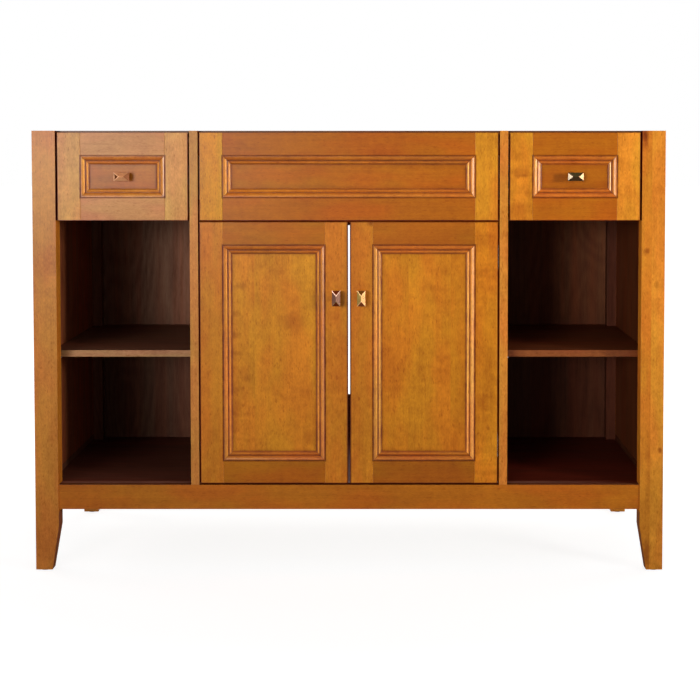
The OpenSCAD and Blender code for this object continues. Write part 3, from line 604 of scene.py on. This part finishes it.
def paint_front(front, stile_left, stile_right, rail, panel, rail_right=None, panel_right=None,
                planks=(), marks=(), stile_marks=(), curly=(0.7, 0.7),
                trim=(TRIM_LEVEL, TRIM_PALE_LIT, TRIM_PALE_LIT), top=0.88, level_share=0.62, seed=1.0):
    """Paints a front's frame, panel and molding.

    rail_right and panel_right are the tones that those drift to at the right end, planks and
    marks are the panel's, curly is the left and the right stile's curl, trim the level, left
    and right molding's tone, with the uprights' paler tones as painted highlight, and top the
    share of it that the upper molding keeps, its darkening being painted shade.
    """
    door = front.endswith("door")
    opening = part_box(front + "_molding")
    prefix = front + "_front" if front.endswith("drawer") else front
    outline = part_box(prefix + "_frame")
    ends = (outline[0].x, outline[1].x)
    shared = dict(opening=opening, level_share=level_share)
    left = wood(front + "_left_stile", stile_left, "Z", seed, marks=stile_marks,
                curly=curly[0], outline=outline,
                meeting=outline[0].x if front == "right_door" else None, **shared)
    right = wood(front + "_right_stile", stile_right, "Z", seed + 1.3, marks=stile_marks,
                 curly=curly[1], outline=outline,
                 meeting=outline[1].x if front == "left_door" else None, **shared)
    rails = wood(front + "_rails", rail, "X", seed + 2.1, [("X", *ends, rail_right or rail)],
                 figure=0.65, outline=outline, **shared)
    edges = wood(front + "_edges", rail, "Z", seed + 6.0, outline=outline, gloss=0.0)
    paint(prefix + "_frame", rails,
          (left, lambda centre, normal: centre.x < opening[0].x + SEAM_MARGIN),
          (right, lambda centre, normal: centre.x > opening[1].x - SEAM_MARGIN),
          (edges, lambda centre, normal: on_side(centre, normal, *outline)))
    field = wood(front + "_field", panel, "Z" if door else "X", seed + 3.7,
                 [("X", *ends, panel_right or panel)], planks=planks, marks=marks,
                 figure=1.0 if door else 0.65, **shared)
    paint(prefix + "_panel", field)

    middle = (opening[0] + opening[1]) / 2
    half = (opening[1] - opening[0]) / 2
    # Painted light on the molding: the level lengths get painted shade in their hollows, and the
    # upper one a painted shade over all by top; the uprights get paler tones, painted shade and
    # painted highlights
    level = wood(front + "_trim_level_shaded", trim[0], "X", seed + 5.2,
                 [("Z", middle.z, middle.z + MM, tint(trim[0], (top, top * 0.98, top * 0.92)))],
                 bands=LEVEL_SHADE_BANDS, gloss=0.25, **shared)
    trim_left_lit = wood(front + "_trim_left", trim[1], "Z", seed + 4.4, bands=LEFT_LIGHT_BANDS,
                     gloss=0.35, **shared)
    trim_right_lit = wood(front + "_trim_right", trim[2], "Z", seed + 4.9, bands=RIGHT_LIGHT_BANDS,
                      gloss=0.35, **shared)

    def upright(centre, sign):
        """Whether a face belongs to the molding's left or right length, by its mitres."""
        across = (centre.x - middle.x) * sign
        return half.x - across < half.z - abs(centre.z - middle.z)

    paint(front + "_molding", level,
          (trim_left_lit, lambda centre, normal: upright(centre, -1)),
          (trim_right_lit, lambda centre, normal: upright(centre, 1)))
    ease(prefix + "_frame", 0.4 * MM)
    ease(front + "_molding", 0.2 * MM, 1)
    ease(prefix + "_panel", 0.2 * MM, 1)


paint_front("left_drawer", ROSE, ROSE_PALE, TAN_PALE, PINK,
            trim=(TRIM_ORANGE, TRIM_ROSE_LIT, TRIM_PALE_LIT), top=0.97, seed=2.0)
paint_front("right_drawer", GOLD, AMBER, SIENNA, SIENNA_DEEP, curly=(1.3, 0.7),
            stile_marks=((0.333, 0.7795, 0.021, 0.011, 0.35), (0.334, 0.7685, 0.018, 0.0025, 0.35),
                         (0.3338, 0.757, 0.012, 0.007, -0.3)),
            top=0.98, seed=9.0)
paint_front("false_front", HONEY, GOLD, COPPER, SIENNA_PALE, rail_right=SIENNA,
            panel_right=SIENNA, trim=(TRIM_LEVEL, TRIM_PALE_LIT, TRIM_BRIGHT_LIT), seed=15.0)
paint_front("left_door", OCHRE, OCHRE, COPPER_PALE, MAPLE_PALE, planks=((-0.183, 0.98),),
            marks=DOOR_MARKS, trim=(TRIM_LEVEL, TRIM_UPRIGHT_LIT, TRIM_UPRIGHT_LIT), level_share=0.75,
            seed=21.0)
paint_front("right_door", OCHRE, STRAW, RUSSET, MAPLE, planks=((0.115, 1.03), (0.197, 0.95)),
            stile_marks=((0.0413, 0.677, 0.006, 0.005, 0.8), (0.270, 0.2783, 0.003, 0.004, 0.6)),
            curly=(0.7, 1.2), trim=(TRIM_LEVEL, TRIM_PALE_LIT, TRIM_BRIGHT_LIT), level_share=0.75,
            seed=27.0)

# Materials of the boards inside

walnut_upright = laminate("walnut_upright", WALNUT, "Z", 1.0)
walnut_red_upright = laminate("walnut_upright_right", WALNUT_RED, "Z", 4.0)
# The left bay's wall is painted lighter than its laminate, as painted light
walnut_wall_lit = laminate("walnut_wall_left", WALNUT_WALL_LIT, "Z", 1.0)
walnut_level = laminate("walnut_level", WALNUT, "X", 2.0)
# A darker copy of the right bay's laminate, as painted shade
walnut_ledge_shade = laminate("walnut_ledge_shade", WALNUT_RED_SHADE, "Y", 14.0, gloss=0.0)
# Painted shade: a dark red for faces deep in the gaps between the fronts
gap_shade_face = laminate("gap_shade_face", GAP_SHADE_RED, "X", 13.0, gloss=0.0)
# The backs are painted darker below these heights and paler above them, as painted shade and
# painted light
BACK_LIGHT_RISE = (0.36, 0.48)
back_left_light_shade = laminate("walnut_back_left", WALNUT_SHADED, "Z", 1.0, [("Z", *BACK_LIGHT_RISE, WALNUT_LIT)])
back_right_light_shade = laminate("walnut_back_right", WALNUT_RED_SHADED, "Z", 4.0,
                      [("Z", *BACK_LIGHT_RISE, WALNUT_RED_LIT)])
# The floor is redder to the right, painted paler along its front edge as painted light, and
# painted darker in its right corner as painted shade
floor_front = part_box("bottom_rail")[1].y
walnut_floor = laminate("walnut_floor", WALNUT_FLOOR, "X", 8.0,
                        [("X", -0.05, 0.05, WALNUT_RED_FLOOR),
                         ("Y", floor_front + 24 * MM, floor_front + 10 * MM, FLOOR_FRONT_LIT),
                         ("X", 0.36, 0.56, FLOOR_CORNER_SHADE)])
birch_level = bare_wood("birch_level", BIRCH, "X", 3.0)
birch_deep = bare_wood("birch_deep", BIRCH, "Y", 5.0)
birch_upright = bare_wood("birch_upright", PLY, "Z", 7.0)

# Top faces that the countertop would hide are left without lacquer
top_faces = facing("z", 1, 0.95)
maple_top = wood("maple_top", OCHRE, "X", 61.0, gloss=0.0)
walnut_top = laminate("walnut_top", WALNUT, "X", 12.0, gloss=0.0)

# Legs, side panels, dividers and shelves

# The right leg is glued up from two planks: the x where they meet, and the outer one's share
LAMINATION = (0.584, 1.1)
RIGHT_LEG_MARKS = ((0.5685, 0.843, 0.0075, 0.02, 1.0), (0.5738, 0.623, 0.006, 0.006, 0.9),
                   (0.5932, 0.559, 0.005, 0.006, 0.5), (0.603, 0.236, 0.004, 0.005, 0.9),
                   (0.5785, 0.036, 0.0075, 0.024, 0.75), (0.572, 0.847, 0.005, 0.012, 0.6),
                   (0.594, 0.226, 0.009, 0.009, -0.3))
LEG_INNER_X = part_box("front_right_leg")[0].x + 0.3 * MM
GAP_REACH = 5 * MM
# Above this height the rear legs' two inner faces are dark
REAR_LEG_DARK = 0.1
SQUARE_ON = 0.99
fronts_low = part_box("false_front_frame")[0].z
rail_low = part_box("bottom_rail")[0].z
# Below, the right rear leg's dark faces take a darker laminate, as painted shade
BAY_LOOKS = {
    "left": dict(leg=LEG_ROSE, planks=(), marks=(), rear_leg=walnut_upright, wall=walnut_wall_lit,
                 divider=DIVIDER_ROSE, divider_side=WALNUT, shelf=WALNUT_SHELF,
                 shelf_edge=EDGE_ROSE),
    "right": dict(leg=LEG_AMBER, planks=(LAMINATION,), marks=RIGHT_LEG_MARKS,
                  rear_leg=laminate("walnut_leg_right_shade", WALNUT_RED_SHADE, "Z", 5.0),
                  wall=walnut_red_upright, divider=DIVIDER_AMBER, divider_side=WALNUT_RED,
                  shelf=WALNUT_RED, shelf_edge=EDGE_RED),
}


def paint_legs(side, sign, look):
    """Paints a side's two legs: painted shade makes the front one's gap beside the drawer nearly
    black, and the front leg's inner face is painted lighter as painted light and darker below the
    rail as painted shade.
    """
    # Painted shade: nearly black in the gap between the front leg and the fronts
    gap = (*sorted((sign * LEG_INNER_X, sign * (LEG_INNER_X - GAP_REACH))), fronts_low)
    leg_wood = wood(side + "_leg_wood", look["leg"], "Z", 31.0 + sign * 2, planks=look["planks"],
                    marks=look["marks"], gap=gap)
    # The inner face is painted lighter than the leg as painted light, and darker below the bottom
    # rail as painted shade
    leg_inner_lit = wood(side + "_leg_inner_lit", LEG_INNER_LIT, "Z", 35.0 + sign * 2,
                     [("Z", rail_low, rail_low - 10 * MM, LEG_INNER_SHADED)], gap=gap, gloss=0.0)
    paint("front_%s_leg" % side, leg_wood, (leg_inner_lit, facing("x", -sign)),
          (maple_top, top_faces))
    paint("rear_%s_leg" % side, leg_wood,
          (look["rear_leg"], lambda centre, normal:
           centre.z > REAR_LEG_DARK and min(normal.y, normal.x * sign) < -SQUARE_ON),
          (maple_top, top_faces))
    ease("front_%s_leg" % side, 1.0 * MM, 3)
    ease("rear_%s_leg" % side, 1.0 * MM, 3)


def paint_bay(side, sign, look):
    """Paints a bay's side panel, divider and shelf; near the front the divider's sides are painted
    dark red as painted shade.
    """
    panel_wood = wood(side + "_side_wood", look["leg"], "Z", 41.0 + sign * 3)
    paint(side + "_side_panel", panel_wood, (look["wall"], facing("x", -sign)),
          (maple_top, top_faces))
    divider_edge = wood(side + "_divider_edge", look["divider"], "Z", 47.0 + sign)
    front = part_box(side + "_divider")[0].y
    # Near the front the divider's sides turn dark red, painted shade for the gap beside the fronts
    divider_side = laminate(side + "_divider_side", look["divider_side"], "Z", 11.0 + sign,
                            [("Y", front + 30 * MM, front + 22 * MM, GAP_SHADE_RED)], gloss=0.0)
    paint(side + "_divider", divider_side, (divider_edge, facing("y", -1)))
    shelf_edge = wood(side + "_shelf_edge", look["shelf_edge"], "X", 51.0 + sign)
    shelf_face = laminate(side + "_shelf_face", look["shelf"], "X", 6.0 + sign)
    paint(side + "_shelf", shelf_face, (shelf_edge, facing("y", -1)))
    for node in ("_side_panel", "_divider", "_shelf"):
        ease(side + node, 0.3 * MM)


for side, sign in SIDES.items():
    paint_legs(side, sign, BAY_LOOKS[side])
    paint_bay(side, sign, BAY_LOOKS[side])

# Rails: the side rails' inner faces are dark laminate; on the right, and on the lower ledges'
# tops, a darker copy of it is painted shade

paint("side_rails", wood("side_rail_wood", OCHRE, "Y", 55.0),
      (walnut_upright, lambda centre, normal: normal.x > 0.7 and centre.x < 0),
      (walnut_ledge_shade, lambda centre, normal: normal.x < -0.7 and centre.x > 0),
      (maple_top, top_faces),
      (walnut_ledge_shade, lambda centre, normal: normal.z > 0.7 and centre.z < 0.5))
ease("side_rails", 0.5 * MM)
bottom_low, bottom_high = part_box("bottom_rail")
bottom_wood = wood("bottom_rail_wood", RAIL_LEFT, "X", 57.0,
                   [("X", bottom_low.x, bottom_high.x, RAIL_RIGHT)], figure=0.75)
# Its top is painted darker than the rail as painted shade, more beneath the doors than beneath
# the bays
bottom_top_shade = wood("bottom_rail_top_shade", EDGE_SHADE, "X", 58.0,
                  [("X", -0.3, -0.32, RAIL_TOP), ("X", 0.3, 0.32, RAIL_TOP)], gloss=0.0)
paint("bottom_rail", bottom_wood, (bottom_top_shade, facing("z", 1)))
ease("bottom_rail", 0.5 * MM)
# The stretcher's front face, behind the gap above the fronts, is painted dark as painted shade
paint("front_stretcher", wood("stretcher_wood", OCHRE, "X", 59.0),
      (wood("stretcher_face_shade", SHADOW_EDGE, "X", 60.0), facing("y", -1)),
      (maple_top, top_faces))
ease("front_stretcher", 0.3 * MM)

# Boards inside, at the back and in the drawers

paint("floor_panel", walnut_floor, (birch_level, facing("z", -1)))
# Their front faces, seen deep in the gaps, are painted dark red as painted shade
for node in ("drawer_decks", "door_stop_rail"):
    paint(node, walnut_level, (gap_shade_face, facing("y", -1)))
for node in ("rear_top_rail", "rear_bottom_rail", "center_back_rail"):
    paint(node, walnut_level, (birch_level, facing("y", 1)), (walnut_top, top_faces))
paint("bay_back_panels", back_left_light_shade, (birch_upright, facing("y", 1)),
      (back_right_light_shade, lambda centre, normal: normal.y < -0.7 and centre.x > 0),
      (walnut_top, top_faces))
for node in ("corner_blocks", "false_front_blocks"):
    paint(node, birch_level)
paint("slide_spacers", birch_deep)
# The cleats along the two sides run from front to back
side_cleat_x = 0.5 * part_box("floor_panel")[1].x
paint("floor_cleats", birch_level,
      (birch_deep, lambda centre, normal: abs(centre.x) > side_cleat_x and abs(centre.y) < 0.2))
for side in SIDES:
    for node in (side + "_drawer_box", side + "_drawer_bottom"):
        paint(node, birch_deep)
        ease(node, 0.3 * MM)
for node in ("floor_panel", "drawer_decks", "door_stop_rail", "rear_top_rail",
             "rear_bottom_rail", "center_back_rail", "bay_back_panels", "corner_blocks",
             "false_front_blocks", "slide_spacers", "floor_cleats"):
    ease(node, 0.3 * MM)

# Metal and plastic

zinc = sheet_steel("zinc_steel", srgb(196, 198, 200), 0.3)
nickel = sheet_steel("nickel_steel", srgb(206, 202, 194), 0.22)
# A knob's screw lies within this length of its back end, and is zinc
KNOB_SCREW = 14 * MM
# Each knob's tones are partly patina and wear, partly painted reflections of the lamps and room
KNOB_PATINA_AND_REFLECTIONS = {
    "left_drawer_knob": dict(facets=(srgb(176, 122, 84), srgb(182, 120, 80)),
                             ends=(srgb(84, 42, 16), srgb(150, 92, 60)),
                             hips=(srgb(232, 172, 130), srgb(120, 68, 40)), rims=(0.8, 0.0)),
    "right_drawer_knob": dict(facets=(srgb(62, 44, 26), srgb(68, 56, 32)),
                              ends=(srgb(118, 104, 86), srgb(98, 76, 54)),
                              hips=(srgb(50, 26, 14), srgb(54, 30, 16))),
    "left_door_knob": dict(facets=(srgb(100, 68, 56), srgb(112, 80, 66)),
                           ends=(srgb(84, 34, 14), srgb(94, 36, 14)),
                           hips=(srgb(126, 100, 64), srgb(252, 204, 176))),
    "right_door_knob": dict(facets=(srgb(138, 114, 60), srgb(192, 136, 86)),
                            ends=(srgb(104, 54, 28), srgb(100, 58, 20)),
                            hips=(srgb(200, 152, 108), srgb(222, 176, 122))),
}
for node, tones in KNOB_PATINA_AND_REFLECTIONS.items():
    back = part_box(node)[1].y
    paint(node, brass_patina_and_reflections(node, **tones),
          (zinc, lambda centre, normal: centre.y > back - KNOB_SCREW))
    ease(node, 0.3 * MM, sharp=14)
for side in SIDES:
    for node in (side + "_slide_middle", side + "_drawer_slide_members"):
        paint(node, zinc)
        ease(node, 0.2 * MM, 1)
    for node in (side + "_hinge_cups", side + "_hinge_levers"):
        paint(node, nickel)
        ease(node, 0.2 * MM)
for node, metal in (("slide_cabinet_members", zinc), ("shelf_pins", zinc),
                    ("hardware_screws", zinc), ("hinge_arms", nickel)):
    paint(node, metal)
    ease(node, 0.25 * MM)
paint("floor_glides", nylon("glide_nylon"))
ease("floor_glides", 0.3 * MM)

# Hinge links from the arm's nose into the cup

# A link's cross-section in mm, across and up
LINK_PROFILE = ((-1.1, -2.2), (-0.8, -2.5), (0.8, -2.5), (1.1, -2.2),
                (1.1, 2.2), (0.8, 2.5), (-0.8, 2.5), (-1.1, 2.2))
LINK_FROM_EDGE = 15.2 * MM
LINK_SPREAD = 3 * MM
HINGE_FROM_END = 70 * MM
# Where the links bend, measured from the arm's nose, and where their rings of points lie
LINK_BEND = (0.3 * MM, -3.0 * MM)
BEND_STEPS = 40
LINK_PLACES = [LINK_BEND[0] + (LINK_BEND[1] - LINK_BEND[0]) * i / BEND_STEPS
               for i in range(BEND_STEPS + 1)] + [-6 * MM, -9 * MM, -12.6 * MM]


def hinge_links(side, sign):
    """The two links of each hinge of one door, in small steps where they bend."""
    low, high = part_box(side + "_door_frame")
    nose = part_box("hinge_arms")[0].y
    edge = high.x if sign > 0 else low.x
    shape = bmesh.new()
    for middle in (low.z + HINGE_FROM_END, high.z - HINGE_FROM_END):
        for shift in (-LINK_SPREAD, LINK_SPREAD):
            rings = []
            for place in LINK_PLACES:
                rings.append([shape.verts.new((edge - sign * (LINK_FROM_EDGE + across * MM),
                                               nose + place, middle + shift + up * MM))
                              for across, up in LINK_PROFILE])
            for ring, after in zip(rings, rings[1:]):
                for i in range(len(ring)):
                    j = (i + 1) % len(ring)
                    shape.faces.new((ring[i], ring[j], after[j], after[i]))
            shape.faces.new(rings[0])
            shape.faces.new(rings[-1])
    bmesh.ops.recalc_face_normals(shape, faces=shape.faces)
    mesh = bpy.data.meshes.new(side + "_hinge_links")
    shape.to_mesh(mesh)
    shape.free()
    mesh.materials.append(nickel)
    links = bpy.data.objects.new(side + "_hinge_links", mesh)
    bpy.context.collection.objects.link(links)
    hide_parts(side + "_hinge_levers")
    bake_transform(links)


for side, sign in SIDES.items():
    hinge_links(side, sign)

# Camera at the photograph's place, with most of its falling view taken by the shift

PHOTO_FOCAL_PX = 1685.9
PHOTO_WIDTH_PX = 700
CAMERA_TILT = 3.0
camera_data = bpy.data.cameras.new("camera")
camera_data.sensor_width = 36
camera_data.lens = PHOTO_FOCAL_PX / PHOTO_WIDTH_PX * camera_data.sensor_width
camera_data.shift_x = -0.055
camera_data.shift_y = -0.1667
camera = bpy.data.objects.new("camera", camera_data)
camera.location = (0.0765, -3.507, 0.8276)
camera.rotation_euler = (math.radians(90 - CAMERA_TILT), 0, 0)
bpy.context.collection.objects.link(camera)
bpy.context.scene.camera = camera


# Studio

GREY_LIGHT = 0.15
FLOOR_HALF_SIZE = 30.0
FLOOR_GREY = (0.4, 0.4, 0.4, 1)
# The floor's own glow rises from this at the object to white, between two distances in metres
GLOW_AT_OBJECT = 0.84
GLOW_RISE = (0.75, 1.6)


def soft_light(name, place, target, size, power, spread=180, mirrored=True):
    """Rectangular lamp; spread in degrees narrows its beam, and mirrors show it or not."""
    data = bpy.data.lights.new(name, "AREA")
    data.shape = "RECTANGLE"
    data.size, data.size_y = size
    data.energy = power
    data.spread = math.radians(spread)
    lamp = bpy.data.objects.new(name, data)
    lamp.location = place
    lamp.rotation_euler = (Vector(target) - Vector(place)).to_track_quat("-Z", "Y").to_euler()
    lamp.visible_glossy = mirrored
    bpy.context.collection.objects.link(lamp)


soft_light("left_softbox", (-1.65, -4.95, 1.0), (0, -0.26, 0.88), (1.6, 0.8), 7.9, spread=38)
soft_light("right_softbox", (2.3, -1.9, 0.95), (0.5, -0.26, 0.75), (0.5, 0.6), 3.1, spread=45)
soft_light("top_softbox", (0, -1.8, 2.2), (0, -0.26, 0.5), (2.0, 1.0), 4.0, mirrored=False)
soft_light("rear_softbox", (0.6, 3.0, 1.7), (0, 0.26, 0.4), (2.4, 1.2), 30.0, mirrored=False)
for side, sign in SIDES.items():
    soft_light(side + "_side_softbox", (sign * 2.8, 1.3, 1.5), (sign * 0.6, 0, 0.4),
               (1.4, 1.0), 14.0, mirrored=False)


def seen_white(tree):
    """1 for rays from the camera, or from glossy or clear surfaces, and 0 for all others."""
    path = tree.nodes.new("ShaderNodeLightPath")
    total = path.outputs["Is Camera Ray"]
    for ray in ("Is Glossy Ray", "Is Transmission Ray"):
        either = tree.nodes.new("ShaderNodeMath")
        either.operation = "MAXIMUM"
        tree.links.new(total, either.inputs[0])
        tree.links.new(path.outputs[ray], either.inputs[1])
        total = either.outputs[0]
    return total


def white_world():
    """White to the camera and to mirrors and glass, and a soft grey light to all else."""
    world = bpy.data.worlds.new("studio")
    world.use_nodes = True
    tree = world.node_tree
    seen = seen_white(tree)
    strength = tree.nodes.new("ShaderNodeMapRange")
    strength.inputs["To Min"].default_value = GREY_LIGHT
    strength.inputs["To Max"].default_value = 1.0
    tree.links.new(seen, strength.inputs["Value"])
    tree.links.new(strength.outputs[0], tree.nodes["Background"].inputs["Strength"])
    tree.nodes["Background"].inputs["Color"].default_value = (1, 1, 1, 1)
    bpy.context.scene.world = world


def white_floor():
    """Pale floor that goes white where it is lit and keeps the shadow."""
    shape = bmesh.new()
    bmesh.ops.create_grid(shape, x_segments=1, y_segments=1, size=FLOOR_HALF_SIZE)
    mesh = bpy.data.meshes.new("floor")
    shape.to_mesh(mesh)
    shape.free()
    ground = bpy.data.objects.new("floor", mesh)
    bpy.context.collection.objects.link(ground)
    material = bpy.data.materials.new("floor")
    material.use_nodes = True
    tree = material.node_tree
    surface = tree.nodes["Principled BSDF"]
    surface.inputs["Base Color"].default_value = FLOOR_GREY
    surface.inputs["Roughness"].default_value = 0.9
    surface.inputs["Emission Color"].default_value = (1, 1, 1, 1)
    where = tree.nodes.new("ShaderNodeTexCoord")
    away = tree.nodes.new("ShaderNodeVectorMath")
    away.operation = "LENGTH"
    tree.links.new(where.outputs["Object"], away.inputs[0])
    fade = tree.nodes.new("ShaderNodeMapRange")
    fade.inputs["From Min"].default_value = GLOW_RISE[0]
    fade.inputs["From Max"].default_value = GLOW_RISE[1]
    fade.inputs["To Min"].default_value = GLOW_AT_OBJECT
    fade.inputs["To Max"].default_value = 1.0
    tree.links.new(away.outputs["Value"], fade.inputs["Value"])
    glow = tree.nodes.new("ShaderNodeMath")
    glow.operation = "MULTIPLY"
    tree.links.new(seen_white(tree), glow.inputs[0])
    tree.links.new(fade.outputs[0], glow.inputs[1])
    tree.links.new(glow.outputs[0], surface.inputs["Emission Strength"])
    mesh.materials.append(material)


white_world()
white_floor()
bpy.context.scene.view_settings.view_transform = "Standard"
